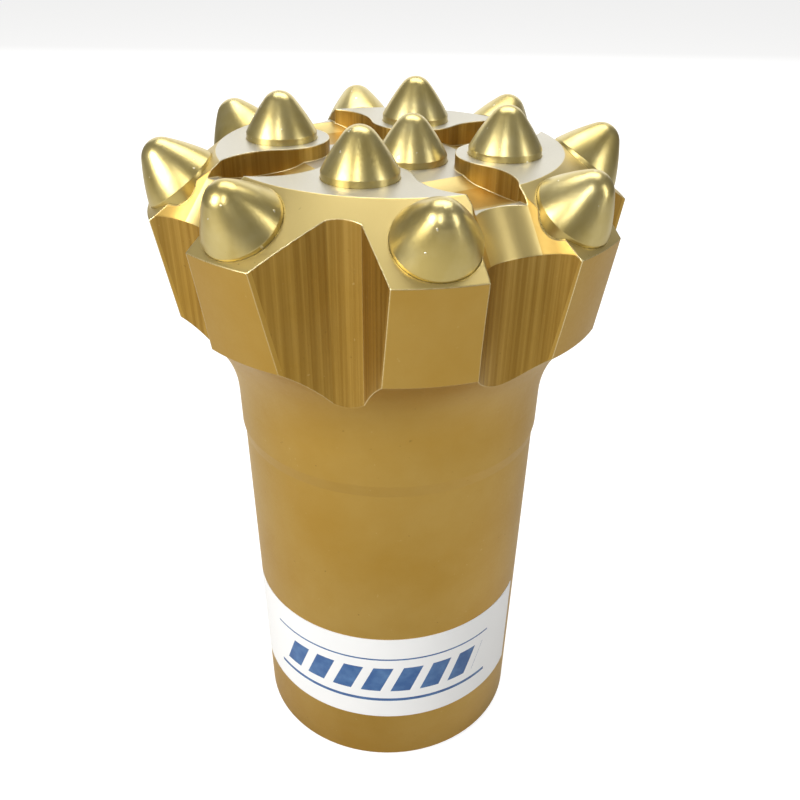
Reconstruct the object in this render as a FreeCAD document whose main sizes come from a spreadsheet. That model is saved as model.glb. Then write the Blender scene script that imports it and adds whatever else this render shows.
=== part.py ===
"""Button drill bit, 102 mm across the gauge: a steel body with a threaded socket and pressed carbide buttons.

Frame: +Z runs up the bit to its cutting face, the origin is the centre of the skirt's open end, millimetres.
Azimuths are measured in degrees about +Z from +X.
"""
import FreeCAD, Part
import Sketcher
import os
import re

SIZES = {
    # skirt and neck
    "skirt_radius": 35.0, "skirt_chamfer": 1.2, "skirt_top": 89.1,
    "neck_radius": 35.5, "neck_low": 92.0, "neck_high": 100.0, "flare_radius": 27.0,
    # head
    "flare_edge_radius": 46.4, "flare_edge_rise": 21.7, "gauge_radius": 49.5, "gauge_height": 141.7,
    "face_radius": 34.9, "top_height": 151.9, "gauge_tilt": 35.0,
    # socket, from the open end inwards
    "mouth_radius": 26.2, "mouth_depth": 14.0, "thread_minor": 22.9, "thread_major": 25.6,
    "thread_pitch": 12.7, "thread_crest": 8.2, "thread_root": 4.2,
    "relief_radius": 25.9, "relief_low": 78.0, "relief_high": 87.0,
    "seat_radius": 22.4, "seat_height": 93.0, "water_radius": 9.0, "water_low": 98.0,
    "water_high": 117.0, "water_tip": 122.0,
    # raised petals round the face
    "petal_azimuth": -103.6, "level_drop": 2.8, "boss_radius": 9.8, "ogee_radius": 13.0,
    "corner_along": 28.4, "corner_across": 20.3, "petal_mouth_along": 46.2, "petal_mouth_across": 38.5,
    "dish_radius": 24.0, "dish_depth": 1.9, "dish_centre": 25.8,
    # wide flutes, one through the rim of each petal
    "flute_floor": 39.1, "flute_floor_left": 1.8, "flute_floor_right": 4.5, "flute_floor_arc": 12.0,
    "flute_mouth": 58.0, "flute_mouth_left": 27.1, "flute_mouth_right": 19.6,
    # round side flutes and the sloping saddles above them, one between each pair of petals
    "side_flute_radius": 10.5, "side_flute_centre": 51.5,
    "saddle_radius": 11.0, "saddle_slope": 54.0, "saddle_start": 35.4, "saddle_length": 44.0,
    # flushing holes
    "flush_radius": 5.2, "flush_tilt": 25.0, "flush_start": 97.0, "flush_length": 66.0,
    # carbide buttons
    "hole_clearance": 0.05, "button_chamfer": 0.8, "tip_angle": 50.0,
    "face_button_radius": 7.25, "face_button_depth": 12.8, "face_button_show": 1.2,
    "face_button_dome": 7.7, "face_button_tip": 3.8, "face_button_flank": 39.0, "face_ring": 23.2,
    "gauge_button_radius": 8.0, "gauge_button_depth": 13.5, "gauge_button_show": 0.5,
    "gauge_button_dome": 8.5, "gauge_button_tip": 4.2, "gauge_button_flank": 43.0,
    "gauge_ring": 42.2, "gauge_spread": 24.2, "centre_offset": 4.3,
    # wrap label on the skirt
    "label_thickness": 0.15, "label_low": 16.9, "label_height": 28.7,
    "label_start": -165.0, "label_sweep": 143.0,
}
PETALS = 4
FULL_TURN = 360.0
QUARTER = FULL_TURN / PETALS
GROOVE_TURN = QUARTER / 2          # a groove lies half way between two petals
ABOVE_TOP = 12.0                   # how far the cutting tools run out above the face
BELOW_LEVEL = 6.0                  # how far the petals' outline is drawn below the dropped level

doc = FreeCAD.newDocument("button_drill_bit")
sheet = doc.addObject("Spreadsheet::Sheet", "Sizes")
for row, (alias, value) in enumerate(SIZES.items(), start=1):
    sheet.set(f"A{row}", alias)
    sheet.set(f"B{row}", str(value))
    sheet.setAlias(f"B{row}", alias)
doc.recompute()


def cells(expression):
    """Write each size's name in the expression as its cell in the sheet."""
    return re.sub(r"[a-z_]+", lambda word: f"Sizes.{word[0]}" if word[0] in SIZES else word[0], expression)


def number(expression):
    return float(sheet.evalExpression(cells(expression)))


def place(thing, radius, azimuth, height, tilt="0", property_name="Placement"):
    """Stand a thing at a radius, azimuth and height, tipped outwards by the tilt."""
    thing.setExpression(property_name, cells(
        f"create(<<placement>>; create(<<vector>>; ( {radius} ) * cos( {azimuth} ) ;"
        f" ( {radius} ) * sin( {azimuth} ) ; {height} ); create(<<rotation>>; {azimuth} ; {tilt} ; 0))"))


def cylinder(name, radius, height, angle=None):
    solid = doc.addObject("Part::Cylinder", name)
    solid.setExpression("Radius", cells(radius))
    solid.setExpression("Height", cells(height))
    if angle:
        solid.setExpression("Angle", cells(angle))
    return solid


def sketch_on(body, role, name, height="0"):
    """Start a sketch on one of the body's own origin planes, lifted along the plane's normal."""
    plane = next(item for item in body.Origin.OriginFeatures if item.Role == role)
    sketch = body.newObject("Sketcher::SketchObject", name)
    sketch.AttachmentSupport = [(plane, "")]
    sketch.MapMode = "FlatFace"
    sketch.setExpression("AttachmentOffset.Base.z", cells(height))
    return sketch


def pin(sketch, kind, element, end, expression):
    """Dimension one coordinate of a point from the sketch's origin by the sheet's sizes."""
    value = number(expression)
    if abs(value) < 1e-9:
        axis = -2 if kind == "DistanceX" else -1
        sketch.addConstraint(Sketcher.Constraint("PointOnObject", element, end, axis))
        return
    ends = (-1, 1, element, end) if value > 0 else (element, end, -1, 1)
    index = sketch.addConstraint(Sketcher.Constraint(kind, *ends, abs(value)))
    sketch.setExpression(f"Constraints[{index}]", cells(expression if value > 0 else f"-( {expression} )"))


def outline(sketch, points, arcs=None):
    """Draw a closed outline through the points; arcs maps a side's number to its radius and its bulge.

    The bulge is +1 to the right of the way the outline runs and -1 to the left.
    """
    arcs = arcs or {}
    corners = [FreeCAD.Vector(number(across), number(up), 0) for across, up in points]
    ends = []
    for side, start in enumerate(corners):
        finish = corners[(side + 1) % len(corners)]
        if side in arcs:
            radius, bulge = number(arcs[side][0]), arcs[side][1]
            chord = finish - start
            rise = radius - (radius ** 2 - chord.Length ** 2 / 4) ** 0.5
            right = FreeCAD.Vector(chord.y, -chord.x, 0).normalize()
            middle = (start + finish) / 2 + right * (rise * bulge)
            element = sketch.addGeometry(Part.Arc(start, middle, finish))
            first = 1 if sketch.getPoint(element, 1).isEqual(start, 1e-6) else 2
            index = sketch.addConstraint(Sketcher.Constraint("Radius", element, radius))
            sketch.setExpression(f"Constraints[{index}]", cells(arcs[side][0]))
        else:
            element = sketch.addGeometry(Part.LineSegment(start, finish))
            first = 1
        ends.append((element, first, 3 - first))
    for side, (element, first, last) in enumerate(ends):
        following, start, _ = ends[(side + 1) % len(ends)]
        sketch.addConstraint(Sketcher.Constraint("Coincident", element, last, following, start))
        pin(sketch, "DistanceX", element, first, points[side][0])
        pin(sketch, "DistanceY", element, first, points[side][1])


def revolve(body, sketch):
    turned = body.newObject("PartDesign::Revolution", f"{body.Name}_turned")
    turned.Profile = sketch
    turned.ReferenceAxis = (sketch, ["V_Axis"])
    turned.Angle = FULL_TURN
    return turned


def spread(body, feature):
    """Repeat a feature once for each petal round the bit's axis."""
    axis = next(item for item in body.Origin.OriginFeatures if item.Role == "Z_Axis")
    pattern = body.newObject("PartDesign::PolarPattern", f"{feature.Name}_spread")
    pattern.Originals = [feature]
    pattern.Axis = (axis, [""])
    pattern.Angle = FULL_TURN
    pattern.Occurrences = PETALS
    body.Tip = pattern
    doc.recompute()
    return pattern


def turned_blank():
    """The forging after the lathe: skirt, neck, flared head and the stepped socket, with its rope thread."""
    body = doc.addObject("PartDesign::Body", "blank")
    section = sketch_on(body, "XZ_Plane", "half_section")
    flare_top = "neck_high + flare_edge_rise"
    outline(section, [
        ("mouth_radius", "0"),
        ("skirt_radius - skirt_chamfer", "0"),
        ("skirt_radius", "skirt_chamfer"),
        ("skirt_radius", "skirt_top"),
        ("neck_radius", "neck_low"),
        ("neck_radius", "neck_high"),
        ("flare_edge_radius", flare_top),
        ("gauge_radius", "gauge_height"),
        ("face_radius", "top_height"),
        ("0", "top_height"),
        ("0", "water_tip"),
        ("water_radius", "water_high"),
        ("water_radius", "water_low"),
        ("seat_radius", "seat_height"),
        ("seat_radius", "relief_high"),
        ("relief_radius", "relief_high"),
        ("relief_radius", "relief_low"),
        ("thread_minor", "relief_low"),
        ("thread_minor", "mouth_depth + thread_major - thread_minor"),
        ("thread_major", "mouth_depth"),
        ("mouth_radius", "mouth_depth"),
    ], {5: ("flare_radius", -1)})
    revolve(body, section)
    doc.recompute()
    groove = sketch_on(body, "XZ_Plane", "thread_section")
    inside = "thread_minor - 1"
    outline(groove, [
        (inside, "mouth_depth - thread_pitch / 2"),
        ("thread_major", "mouth_depth - thread_pitch / 2 + thread_crest / 2 - thread_root / 2"),
        ("thread_major", "mouth_depth - thread_pitch / 2 + thread_crest / 2 + thread_root / 2"),
        (inside, "mouth_depth - thread_pitch / 2 + thread_crest"),
    ])
    thread = body.newObject("PartDesign::SubtractiveHelix", "rope_thread")
    thread.Profile = groove
    thread.ReferenceAxis = (groove, ["V_Axis"])
    thread.Mode = "pitch-height-angle"
    thread.setExpression("Pitch", cells("thread_pitch"))
    thread.setExpression("Height", cells("relief_low - mouth_depth + thread_pitch / 2"))
    thread.LeftHanded = True
    body.Tip = thread
    doc.recompute()
    return body


def fluted_blank(body):
    """Mill the wide flute through the rim of each petal, parallel to the axis."""
    section = sketch_on(body, "XY_Plane", "flute_section", "top_height")
    section.setExpression("AttachmentOffset.Rotation.Angle", cells("petal_azimuth"))
    outline(section, [
        ("flute_mouth", "-flute_mouth_left"),
        ("flute_mouth", "flute_mouth_right"),
        ("flute_floor", "flute_floor_right"),
        ("flute_floor", "-flute_floor_left"),
    ], {2: ("flute_floor_arc", 1)})
    flute = body.newObject("PartDesign::Pocket", "wide_flute")
    flute.Profile = section
    flute.setExpression("Length", cells("top_height - neck_high"))
    body.Tip = flute
    doc.recompute()
    spread(body, flute)
    return body


def ogee_point(side):
    """Where the petal's hollow arc leaves its boss arc, as a pair of expressions; side is +1 or -1.

    The hollow arc touches the boss from outside and ends on the petal's corner, so its centre is
    the meeting point of two circles, one about the boss and one about the corner.
    """
    along, across = "( corner_along - face_ring )", "corner_across"
    span = f"( ( {along} ^ 2 + {across} ^ 2 ) ^ 0.5 )"
    reach = "( boss_radius + ogee_radius )"
    near = f"( ( {span} ^ 2 + {reach} ^ 2 - ogee_radius ^ 2 ) / ( 2 * {span} ) )"
    off = f"( ( {reach} ^ 2 - {near} ^ 2 ) ^ 0.5 )"
    centre_along = f"( {near} * {along} / {span} - {off} * {across} / {span} )"
    centre_across = f"( {near} * {across} / {span} + {off} * {along} / {span} )"
    share = f"( boss_radius / {reach} )"
    return f"face_ring + {share} * {centre_along}", f"( {share} * {centre_across} ) * ( {side} )"


def between_petals():
    """All the room between the petals: a deep disc less the petals' outlines."""
    body = doc.addObject("PartDesign::Body", "between_petals")
    floor = f"top_height - level_drop - {BELOW_LEVEL}"
    round_face = sketch_on(body, "XY_Plane", "cleared_disc", floor)
    disc = round_face.addGeometry(Part.Circle(FreeCAD.Vector(0, 0, 0), FreeCAD.Vector(0, 0, 1),
                                              number("gauge_radius")))
    round_face.addConstraint(Sketcher.Constraint("Coincident", disc, 3, -1, 1))
    index = round_face.addConstraint(Sketcher.Constraint("Radius", disc, number("gauge_radius")))
    round_face.setExpression(f"Constraints[{index}]", cells("gauge_radius"))
    slab = body.newObject("PartDesign::Pad", "cleared_slab")
    slab.Profile = round_face
    slab.Length = BELOW_LEVEL + ABOVE_TOP
    doc.recompute()
    petal_outline = sketch_on(body, "XY_Plane", "petal_outline", floor)
    petal_outline.setExpression("AttachmentOffset.Rotation.Angle", cells("petal_azimuth"))
    left, right = ogee_point(1), ogee_point(-1)
    boss_tip = ("face_ring - boss_radius", "0")
    outline(petal_outline, [
        ("petal_mouth_along", "petal_mouth_across"),
        ("corner_along", "corner_across"),
        left, boss_tip, right,
        ("corner_along", "-corner_across"),
        ("petal_mouth_along", "-petal_mouth_across"),
    ], {1: ("ogee_radius", -1), 2: ("boss_radius", 1), 3: ("boss_radius", 1), 4: ("ogee_radius", -1)})
    petal = body.newObject("PartDesign::Pocket", "petal")
    petal.Profile = petal_outline
    petal.Reversed = True
    petal.Type = 1
    body.Tip = petal
    doc.recompute()
    spread(body, petal)
    return body


def face_mill():
    """What is cleared between the petals: all above the dropped level, and a shallow dish in each groove."""
    level = cylinder("level_slab", "gauge_radius", f"{ABOVE_TOP}")
    place(level, "0", "0", "top_height - level_drop")
    sweeps = [level]
    for groove in range(PETALS):
        dish = cylinder(f"dish_{groove + 1}", "dish_radius", "2 * gauge_radius")
        azimuth = f"( petal_azimuth + {GROOVE_TURN + groove * QUARTER} )"
        dish.setExpression("Placement", cells(
            f"create(<<placement>>; create(<<vector>>; dish_centre * cos{azimuth} - gauge_radius * sin{azimuth} ;"
            f" dish_centre * sin{azimuth} + gauge_radius * cos{azimuth} ;"
            f" top_height - level_drop - dish_depth + dish_radius );"
            f" create(<<rotation>>; {azimuth} ; 0; 90))"))
        sweeps.append(dish)
    swept = doc.addObject("Part::MultiFuse", "swept_by_face_mill")
    swept.Shapes = sweeps
    cleared = doc.addObject("Part::Common", "cleared_between_petals")
    cleared.Base = between_petals()
    cleared.Tool = swept
    return cleared


def groove_tools():
    """Round side flutes, the sloping saddles above them and the two flushing holes."""
    tools = []
    for groove in range(PETALS):
        azimuth = f"petal_azimuth + {GROOVE_TURN + groove * QUARTER}"
        flute = cylinder(f"side_flute_{groove + 1}", "side_flute_radius",
                         f"top_height - neck_high + {ABOVE_TOP}")
        place(flute, "side_flute_centre", azimuth, "neck_high")
        saddle = cylinder(f"saddle_{groove + 1}", "saddle_radius", "saddle_length")
        away = "saddle_radius * sin( saddle_slope ) - saddle_length / 2 * cos( saddle_slope )"
        above = "saddle_radius * cos( saddle_slope ) + saddle_length / 2 * sin( saddle_slope )"
        place(saddle, f"saddle_start + {away}", azimuth, f"top_height - level_drop + {above}",
              "90 + saddle_slope")
        tools += [flute, saddle]
        if groove % 2:
            flush = cylinder(f"flushing_hole_{groove // 2 + 1}", "flush_radius", "flush_length")
            place(flush, "0", azimuth, "flush_start", "flush_tilt")
            tools.append(flush)
    return tools


def seats():
    """Each button's name, family of sizes, and its seat as radius, azimuth, height and tilt."""
    listed = []
    for petal in range(PETALS):
        azimuth = f"petal_azimuth + {petal * QUARTER}"
        listed.append((f"face_button_{petal + 1}", "face_button", "face_ring", azimuth, "top_height", "0"))
        for turn, spread_sign in enumerate(("-", "+")):
            ring_height = "top_height - ( gauge_ring - face_radius ) * tan( gauge_tilt )"
            listed.append((f"gauge_button_{2 * petal + turn + 1}", "gauge_button", "gauge_ring",
                           f"{azimuth} {spread_sign} gauge_spread", ring_height, "gauge_tilt"))
    listed.append(("centre_button", "face_button", "centre_offset", "0", "top_height - level_drop", "0"))
    return listed


def sunk(family, seat):
    """The seat moved down its own axis to the floor of the button's hole."""
    radius, azimuth, height, tilt = seat
    deep = f"{family}_depth"
    return f"{radius} - {deep} * sin( {tilt} )", azimuth, f"{height} - {deep} * cos( {tilt} )", tilt


def button(name, family, seat):
    """A carbide button: chamfered base, straight shank and ballistic dome with a round tip."""
    body = doc.addObject("PartDesign::Body", name)
    section = sketch_on(body, "XZ_Plane", f"{name}_section")
    radius, tip = f"{family}_radius", f"{family}_tip"
    crease = f"{family}_depth + {family}_show"
    top = f"{crease} + {family}_dome"
    outline(section, [
        ("0", "0"),
        (f"{radius} - button_chamfer", "0"),
        (radius, "button_chamfer"),
        (radius, crease),
        (f"{tip} * sin( tip_angle )", f"{top} - {tip} + {tip} * cos( tip_angle )"),
        ("0", top),
    ], {3: (f"{family}_flank", 1), 4: (tip, 1)})
    revolve(body, section)
    place(body, *sunk(family, seat))
    return body


def bit_body():
    """The finished steel body: the blank less everything milled and drilled in its head."""
    blank = fluted_blank(turned_blank())
    tools = [face_mill()] + groove_tools()
    for name, family, *seat in seats():
        hole = cylinder(f"{name}_hole", f"{family}_radius + hole_clearance",
                        f"{family}_depth + {ABOVE_TOP}")
        place(hole, *sunk(family, seat))
        tools.append(hole)
    milled = doc.addObject("Part::MultiFuse", "milled_away")
    milled.Shapes = tools
    body = doc.addObject("Part::Cut", "bit_body")
    body.Base = blank
    body.Tool = milled
    return body


def label():
    """The printed wrap label, a thin sleeve over part of the skirt."""
    skin = cylinder("label_skin", "skirt_radius + label_thickness", "label_height", "label_sweep")
    place(skin, "0", "label_start", "label_low")
    core = cylinder("label_core", "skirt_radius", "label_height")
    place(core, "0", "0", "label_low")
    sleeve = doc.addObject("Part::Cut", "label")
    sleeve.Base = skin
    sleeve.Tool = core
    return sleeve


parts = [bit_body()]
for name, family, *seat in seats():
    parts.append(button(name, family, seat))
parts.append(label())
for part in parts:
    part.Label = part.Name
doc.recompute()

for thing in doc.Objects:
    if {"Invalid", "Error"} & set(thing.State):
        raise RuntimeError(f"{thing.Name} failed: {thing.getStatusString()}")
for part in parts:
    if part.Shape.isNull() or not part.Shape.isValid():
        raise RuntimeError(f"{part.Label} has no valid shape")

os.makedirs("parts", exist_ok=True)
for part in parts:
    part.Shape.exportStep(f"parts/{part.Label}.step")
    print(f"{part.Label}: {part.Shape.Volume / 1000:.2f} cc, {len(part.Shape.Solids)} solid")
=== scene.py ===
import math
import bpy
from mathutils import Matrix, Vector


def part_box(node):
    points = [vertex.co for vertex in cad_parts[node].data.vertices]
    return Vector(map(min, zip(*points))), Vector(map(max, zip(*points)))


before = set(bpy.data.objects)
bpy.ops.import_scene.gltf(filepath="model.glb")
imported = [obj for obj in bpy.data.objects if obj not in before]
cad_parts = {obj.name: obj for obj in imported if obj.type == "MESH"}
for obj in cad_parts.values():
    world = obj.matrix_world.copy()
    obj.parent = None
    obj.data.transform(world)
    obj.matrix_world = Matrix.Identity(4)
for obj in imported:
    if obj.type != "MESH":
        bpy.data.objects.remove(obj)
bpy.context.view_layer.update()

MM = 0.001

# --- Bit body -----------------------------------------------------------------------------------
# One steel forging, turned on the lathe, then milled and drilled in its head, and sprayed all
# over with a satin gold metallic paint. The paint is thin: turning rings, cutter marks and the
# grain of the steel still show through it. Its edges carry a painted highlight.
GOLD = (0.47, 0.285, 0.052, 1)
GOLD_PALE = (0.62, 0.46, 0.17, 1)
# Deep gold painted on the flute walls as painted shade.
FLUTE_PAINTED_SHADE = (0.27, 0.145, 0.020, 1)
# Pale gold painted on the cone faces as a painted highlight.
CONE_PAINTED_HIGHLIGHT = (0.70, 0.60, 0.27, 1)
# Silver-grey painted on the level tops as a painted reflection.
PAINTED_REFLECTION_GREY = (0.56, 0.56, 0.50, 1)
SPECK_DARK = (0.12, 0.07, 0.02, 1)
# Pale gold painted along the edges as a painted highlight.
EDGE_PAINTED_HIGHLIGHT = (0.93, 0.84, 0.52, 1)

PLATEAU_HEIGHT = 151.9 * MM
LEVEL_HEIGHT = 149.1 * MM
HEAD_LOW = 112 * MM
SIDE_LOW_HEIGHT = 121.7 * MM
SIDE_LOW_RADIUS = 46.4 * MM
SIDE_SLOPE = 0.155
CONE_LOW = 139 * MM
TURNED_RADIUS = 51 * MM
TURNED_TOP = PLATEAU_HEIGHT - 6 * MM
LEVEL_SLACK = 0.2 * MM
FLUTE_SLACK = 0.7 * MM

LEVEL_UP = 0.98
CONE_UP = 0.5
WALL_UP = 0.12

BODY_ROUNDING = 0.45 * MM
BODY_RELIEF = 0.035 * MM


class Wire:
    """A value on its way through a material's nodes; sums on it add Math nodes."""

    def __init__(self, finish, socket):
        self.finish = finish
        self.socket = socket

    def maths(self, operation, other=0.0, clamp=False):
        return self.finish.node("ShaderNodeMath", {"operation": operation, "use_clamp": clamp},
                                {0: self, 1: other})

    def __add__(self, other):
        return self.maths("ADD", other)

    def __sub__(self, other):
        return self.maths("SUBTRACT", other)

    def __mul__(self, other):
        return self.maths("MULTIPLY", other)

    def __truediv__(self, other):
        return self.maths("DIVIDE", other)

    def __radd__(self, other):
        return self.finish.number(other).maths("ADD", self)

    def __rsub__(self, other):
        return self.finish.number(other).maths("SUBTRACT", self)

    def above(self, limit):
        return self.maths("GREATER_THAN", limit)

    def below(self, limit):
        return self.maths("LESS_THAN", limit)

    def ramp(self, low, high):
        """0 up to low, 1 from high, and a straight line between them."""
        return ((self - low) * (1 / (high - low))).maths("ADD", 0.0, clamp=True)


class Finish:
    """A material being built: a Principled shader, and one method that adds any other node."""

    def __init__(self, name):
        self.material = bpy.data.materials.new(name)
        self.material.use_nodes = True
        self.tree = self.material.node_tree
        self.shader = self.tree.nodes["Principled BSDF"]

    def node(self, kind, settings=None, sockets=None, out=0):
        made = self.tree.nodes.new(kind)
        for name, value in (settings or {}).items():
            if name == "stops":
                for stop, (place, colour) in zip(made.color_ramp.elements, value):
                    stop.position = place
                    stop.color = colour
            else:
                setattr(made, name, value)
        for name, value in (sockets or {}).items():
            self.feed(made.inputs[name], value)
        return Wire(self, made.outputs[out])

    def feed(self, socket, value):
        if isinstance(value, Wire):
            self.tree.links.new(value.socket, socket)
        else:
            socket.default_value = value

    def number(self, value):
        return self.node("ShaderNodeMath", {"operation": "ADD"}, {0: value, 1: 0.0})

    def place(self):
        return self.node("ShaderNodeTexCoord", out="Object")

    def axes(self, vector):
        split = self.node("ShaderNodeSeparateXYZ", sockets={0: vector})
        outputs = split.socket.node.outputs
        return [Wire(self, outputs[axis]) for axis in ("X", "Y", "Z")]

    def stretched(self, scales):
        """Object coordinates times a scale on each axis: a pattern runs long where its scale is low."""
        return self.node("ShaderNodeMapping", {}, {"Vector": self.place(), "Scale": scales})

    def noise(self, scale, vector=None, detail=3.0, roughness=0.55):
        return self.node("ShaderNodeTexNoise", {}, {"Vector": vector or self.place(), "Scale": scale,
                                                    "Detail": detail, "Roughness": roughness}, "Fac")

    def blend(self, share, first, second, how="MIX"):
        return self.node("ShaderNodeMix", {"data_type": "RGBA", "blend_type": how},
                         {0: share, 6: first, 7: second}, 2)

    def length(self, vector):
        return self.node("ShaderNodeVectorMath", {"operation": "LENGTH"}, {0: vector}, "Value")

    def rounded(self, radius):
        """The surface's direction as if every edge had this radius."""
        return self.node("ShaderNodeBevel", {"samples": 8}, {"Radius": radius})

    def edge(self, rounded, low, high):
        """1 on edges, where the rounded direction leaves the true one, and 0 elsewhere: the mask for the
        painted edge highlight.
        """
        true = self.node("ShaderNodeNewGeometry", out="Normal")
        same = self.node("ShaderNodeVectorMath", {"operation": "DOT_PRODUCT"}, {0: rounded, 1: true}, "Value")
        return (1 - same).ramp(low, high)

    def bump(self, height, distance, normal=None):
        sockets = {"Height": height, "Distance": distance, "Strength": 1.0}
        if normal:
            sockets["Normal"] = normal
        return self.node("ShaderNodeBump", {}, sockets)

    def set(self, **values):
        for name, value in values.items():
            self.feed(self.shader.inputs[name.replace("_", " ")], value)

    def cover(self, *nodes):
        for name in nodes:
            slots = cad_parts[name].data.materials
            slots.clear()
            slots.append(self.material)


def body_paint():
    paint = Finish("gold_body_paint")
    here = paint.place()
    across, along, height = paint.axes(here)
    radius = paint.length(paint.node("ShaderNodeCombineXYZ", {}, {"X": across, "Y": along}))
    facing = paint.node("ShaderNodeNewGeometry", out="Normal")
    up = paint.axes(facing)[2]
    flat = up.above(LEVEL_UP)
    on_level = flat * height.above(LEVEL_HEIGHT - LEVEL_SLACK)
    side_radius = (height - SIDE_LOW_HEIGHT) * SIDE_SLOPE + SIDE_LOW_RADIUS
    inside = radius.below(side_radius - FLUTE_SLACK)
    in_flute = inside * up.maths("ABSOLUTE").below(WALL_UP) * height.above(HEAD_LOW)
    on_cone = up.above(CONE_UP) * (1 - flat) * height.above(CONE_LOW)
    turned = radius.below(TURNED_RADIUS) * height.below(TURNED_TOP) * (1 - in_flute)

    cloudy = paint.noise(38, detail=4)
    grain = paint.noise(1500, detail=2)
    streaks = paint.noise(1, paint.stretched((900, 900, 9)), detail=3)
    ribs = paint.noise(1, paint.stretched((2300, 2300, 3)), detail=1)
    rings = paint.noise(1, paint.stretched((8, 8, 1400)), detail=2)
    specks = paint.noise(900, detail=1).ramp(0.76, 0.80)
    dark_specks = paint.noise(800, paint.stretched((1, 1, 1.2)), detail=1).ramp(0.77, 0.81)

    softened = paint.rounded(BODY_ROUNDING)
    highlit_edges = paint.edge(softened, 0.02, 0.16)

    colour = paint.blend(cloudy.ramp(0.35, 0.68), GOLD, GOLD_PALE)
    colour = paint.blend(0.30, GOLD, colour)
    # Painted shade: the upright walls of the flutes are darkened, in streaks along the cutter marks.
    colour = paint.blend(in_flute * streaks.ramp(0.30, 0.62) * 0.75, colour, FLUTE_PAINTED_SHADE)
    # Painted highlight: the upward cone faces of the head are lightened as if they catch the lamp.
    colour = paint.blend(on_cone * 0.6, colour, CONE_PAINTED_HIGHLIGHT)
    # Painted reflection: the level tops of the head are turned silver-grey, as if they mirrored the white
    # room.
    colour = paint.blend(on_level * 0.85, colour, PAINTED_REFLECTION_GREY)
    colour = paint.blend(dark_specks * 0.35, colour, SPECK_DARK)
    colour = paint.blend(specks * 0.35, colour, GOLD_PALE)
    # Painted highlight: the edges are lightened towards pale gold.
    colour = paint.blend(highlit_edges * 0.85, colour, EDGE_PAINTED_HIGHLIGHT)

    height_map = grain * 0.22 + rings * turned * 0.35 + ribs * in_flute * 0.9 + streaks * in_flute * 0.6
    rough = 0.40 + (grain - 0.5) * 0.14 - highlit_edges * 0.12 + in_flute * 0.04
    paint.set(Base_Color=colour, Metallic=0.86, Roughness=rough,
              Normal=paint.bump(height_map, BODY_RELIEF, softened))
    paint.cover("bit_body")


body_paint()

# --- Carbide buttons ----------------------------------------------------------------------------
# Thirteen tungsten carbide buttons pressed cold into drilled seats: four round the face, eight
# tipped outwards on the gauge and one by the centre. They were sprayed with the body, but their
# ground domes carry the paint smoother and brighter, with a few pinholes.
BUTTON_GOLD = (0.58, 0.465, 0.17, 1)
BUTTON_PALE = (0.74, 0.66, 0.36, 1)
BUTTON_SHADE = (0.33, 0.23, 0.05, 1)
# Pale gold painted on the button edges as a painted highlight.
BUTTON_EDGE_HIGHLIGHT = (0.95, 0.88, 0.60, 1)
PINHOLE = (0.92, 0.90, 0.78, 1)
BUTTON_ROUNDING = 0.25 * MM
BUTTON_RELIEF = 0.02 * MM


def button_paint():
    paint = Finish("gold_button_paint")
    cloudy = paint.noise(120, detail=3)
    grain = paint.noise(2600, detail=2)
    pinholes = paint.noise(900, detail=0).ramp(0.83, 0.86)
    # Upright streaks of painted shade for the dark bands between highlights on the domes.
    dome_shade_streaks = paint.noise(1, paint.stretched((260, 260, 60)), detail=2)
    softened = paint.rounded(BUTTON_ROUNDING)
    highlit_edges = paint.edge(softened, 0.01, 0.10)
    colour = paint.blend(cloudy.ramp(0.38, 0.66) * 0.5, BUTTON_GOLD, BUTTON_PALE)
    # Painted shade: the domes are darkened in upright streaks.
    colour = paint.blend(dome_shade_streaks.ramp(0.52, 0.75) * 0.22, colour, BUTTON_SHADE)
    # Painted highlight: the button edges are lightened.
    colour = paint.blend(highlit_edges * 0.5, colour, BUTTON_EDGE_HIGHLIGHT)
    colour = paint.blend(pinholes * 0.7, colour, PINHOLE)
    rough = 0.31 + (grain - 0.5) * 0.12
    paint.set(Base_Color=colour, Metallic=0.92, Roughness=rough,
              Normal=paint.bump(grain * 0.5 + pinholes * 2.0, BUTTON_RELIEF, softened))
    paint.cover(*[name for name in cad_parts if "button" in name])


button_paint()

# --- Label --------------------------------------------------------------------------------------
# A white plastic film, stuck round a little under half of the skirt, with plain blue rules and
# slanted bars printed on it and no words.
FILM = (0.86, 0.88, 0.91, 1)
FILM_SHADE = (0.70, 0.73, 0.78, 1)
PRINT_BLUE = (0.030, 0.105, 0.30, 1)
PRINT_LIGHT = (0.16, 0.33, 0.58, 1)
LABEL_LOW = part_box("label")[0].z
LABEL_MIDDLE = math.radians(-93.5)
SKIRT_RADIUS = 35 * MM

BAR_LOW = 10 * MM
BAR_HIGH = 18.5 * MM
BAR_STEP = 7.7 * MM
BAR_SHARE = 0.66
BAR_SLANT = 0.4
ROW_HALF = 27 * MM
ROW_SHIFT = 5 * MM
RULE_HALF = 31 * MM
LOWER_RULE = 6.2 * MM, 7.2 * MM
UPPER_RULE = 21.4 * MM, 21.9 * MM
FILM_ROUNDING = 0.08 * MM
FILM_RELIEF = 0.03 * MM


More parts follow.
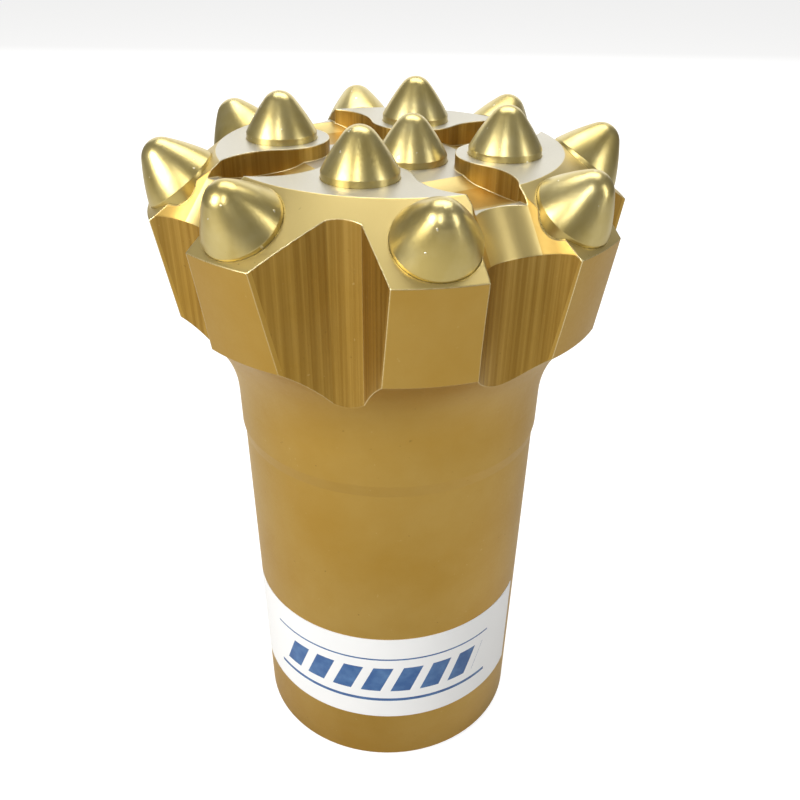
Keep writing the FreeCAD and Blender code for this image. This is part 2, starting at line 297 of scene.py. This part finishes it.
def label_film():
    film = Finish("printed_label_film")
    across, along, height = film.axes(film.place())
    turn = math.cos(LABEL_MIDDLE), math.sin(LABEL_MIDDLE)
    ahead = across * turn[0] + along * turn[1]
    aside = along * turn[0] - across * turn[1]
    sideways = aside.maths("ARCTAN2", ahead) * SKIRT_RADIUS
    rise = height - LABEL_LOW
    slant = sideways - rise * BAR_SLANT + ROW_SHIFT
    in_row = slant.maths("ABSOLUTE").below(ROW_HALF) * rise.above(BAR_LOW) * rise.below(BAR_HIGH)
    beat = ((slant + ROW_HALF) / BAR_STEP).maths("FRACT")
    bars = in_row * beat.below(BAR_SHARE)
    under, over = [rise.above(low) * rise.below(high) * sideways.maths("ABSOLUTE").below(RULE_HALF)
                   for low, high in (LOWER_RULE, UPPER_RULE)]
    ink = film.noise(260, detail=3)
    blue = film.blend(ink.ramp(0.4, 0.7) * 0.35, PRINT_BLUE, PRINT_LIGHT)
    paper = film.blend(film.noise(60).ramp(0.4, 0.7) * 0.12, FILM, FILM_SHADE)
    colour = film.blend(bars.maths("MAXIMUM", under).maths("MAXIMUM", over), paper, blue)
    film.set(Base_Color=colour, Roughness=0.42 + film.noise(900) * 0.10, Metallic=0.0,
             Normal=film.bump(film.noise(330, detail=3) * 0.4, FILM_RELIEF, film.rounded(FILM_ROUNDING)))
    film.cover("label")


label_film()

# --- Camera -------------------------------------------------------------------------------------
# Looks down on the bit from in front, close enough for the skirt to taper strongly.
CAMERA_PLACE = Vector((0.0, -0.17843, 0.19520))
CAMERA_DOWN = math.radians(36.67)
CAMERA_YAW = math.radians(0.96)
CAMERA_ROLL = math.radians(0.88)
LENS = 37.54
SENSOR_WIDTH = 36
FRAMING_SHIFT = 0.125
NEAREST_SEEN = 0.01

camera_data = bpy.data.cameras.new("camera")
camera_data.lens = LENS
camera_data.sensor_width = SENSOR_WIDTH
camera_data.shift_y = FRAMING_SHIFT
camera_data.clip_start = NEAREST_SEEN
camera = bpy.data.objects.new("camera", camera_data)
bpy.context.scene.collection.objects.link(camera)
level_reach = math.cos(CAMERA_DOWN)
ahead = Vector((math.sin(CAMERA_YAW) * level_reach, math.cos(CAMERA_YAW) * level_reach,
                -math.sin(CAMERA_DOWN)))
right = Vector((math.cos(CAMERA_YAW), -math.sin(CAMERA_YAW), 0))
upward = right.cross(ahead)
right_rolled = right * math.cos(CAMERA_ROLL) + upward * math.sin(CAMERA_ROLL)
up_rolled = upward * math.cos(CAMERA_ROLL) - right * math.sin(CAMERA_ROLL)
camera.matrix_world = Matrix.Translation(CAMERA_PLACE) @ Matrix(
    (right_rolled, up_rolled, -ahead)).transposed().to_4x4()
bpy.context.scene.camera = camera

# --- Studio -------------------------------------------------------------------------------------
# A white table in a white room, a large soft lamp high on the left, a strip near the middle, a
# weaker strip on the right, a soft panel overhead and a wide one behind. The camera sees the table
# and the room brighter than they light the part.
TABLE_REACH = 3.0
TABLE_CHALK = (0.62, 0.60, 0.56, 1)
TABLE_SHADED = (0.40, 0.40, 0.40, 1)
TABLE_GLOW = 0.78
ROOM = (0.80, 0.78, 0.74, 1)
ROOM_STRENGTH = 0.24
WHITE = (1, 1, 1, 1)
LAMP_AIM = Vector((0, 0, 0.11))


def seen_by_camera(tree):
    """1 where the camera looks, straight or through something clear, and 0 for any other light."""
    path = tree.nodes.new("ShaderNodeLightPath")
    either = tree.nodes.new("ShaderNodeMath")
    either.operation = "MAXIMUM"
    tree.links.new(path.outputs["Is Camera Ray"], either.inputs[0])
    tree.links.new(path.outputs["Is Transmission Ray"], either.inputs[1])
    return either.outputs[0]


def table_top():
    material = bpy.data.materials.new("white_table")
    material.use_nodes = True
    tree = material.node_tree
    nodes = tree.nodes
    nodes.remove(nodes["Principled BSDF"])
    chalk = nodes.new("ShaderNodeBsdfDiffuse")
    chalk.inputs["Color"].default_value = TABLE_CHALK
    shaded = nodes.new("ShaderNodeBsdfDiffuse")
    shaded.inputs["Color"].default_value = TABLE_SHADED
    glow = nodes.new("ShaderNodeEmission")
    glow.inputs["Strength"].default_value = TABLE_GLOW
    both = nodes.new("ShaderNodeAddShader")
    choose = nodes.new("ShaderNodeMixShader")
    tree.links.new(shaded.outputs[0], both.inputs[0])
    tree.links.new(glow.outputs[0], both.inputs[1])
    tree.links.new(seen_by_camera(tree), choose.inputs[0])
    tree.links.new(chalk.outputs[0], choose.inputs[1])
    tree.links.new(both.outputs[0], choose.inputs[2])
    tree.links.new(choose.outputs[0], nodes["Material Output"].inputs["Surface"])
    bpy.ops.mesh.primitive_plane_add(size=2 * TABLE_REACH, location=(0, 0, 0))
    table = bpy.context.object
    table.name = "table"
    table.data.materials.append(material)


def sky():
    world = bpy.data.worlds.new("studio")
    bpy.context.scene.world = world
    world.use_nodes = True
    tree = world.node_tree
    room = tree.nodes["Background"]
    room.inputs["Color"].default_value = ROOM
    room.inputs["Strength"].default_value = ROOM_STRENGTH
    white = tree.nodes.new("ShaderNodeBackground")
    white.inputs["Color"].default_value = WHITE
    choose = tree.nodes.new("ShaderNodeMixShader")
    tree.links.new(seen_by_camera(tree), choose.inputs[0])
    tree.links.new(room.outputs[0], choose.inputs[1])
    tree.links.new(white.outputs[0], choose.inputs[2])
    tree.links.new(choose.outputs[0], tree.nodes["World Output"].inputs["Surface"])


def lamp(name, place, size, power, colour=(1, 1, 1)):
    data = bpy.data.lights.new(name, "AREA")
    data.shape = "RECTANGLE"
    data.size, data.size_y = size
    data.energy = power
    data.color = colour
    hung = bpy.data.objects.new(name, data)
    bpy.context.scene.collection.objects.link(hung)
    hung.location = place
    hung.rotation_euler = (LAMP_AIM - Vector(place)).to_track_quat("-Z", "Y").to_euler()


table_top()
sky()
lamp("key_left", (-0.75, -0.55, 0.62), (0.5, 0.6), 9.5, colour=(1, 0.98, 0.94))
lamp("strip_middle", (-0.12, -0.75, 0.75), (0.12, 0.5), 2.2)
lamp("strip_right", (0.75, -0.30, 0.42), (0.12, 0.6), 1.6)
lamp("overhead", (0.05, 0.35, 0.95), (0.8, 0.5), 5.5)
lamp("sweep_behind", (0.0, 1.0, 0.45), (1.4, 0.7), 3.5)

scene = bpy.context.scene
scene.view_settings.view_transform = "Standard"
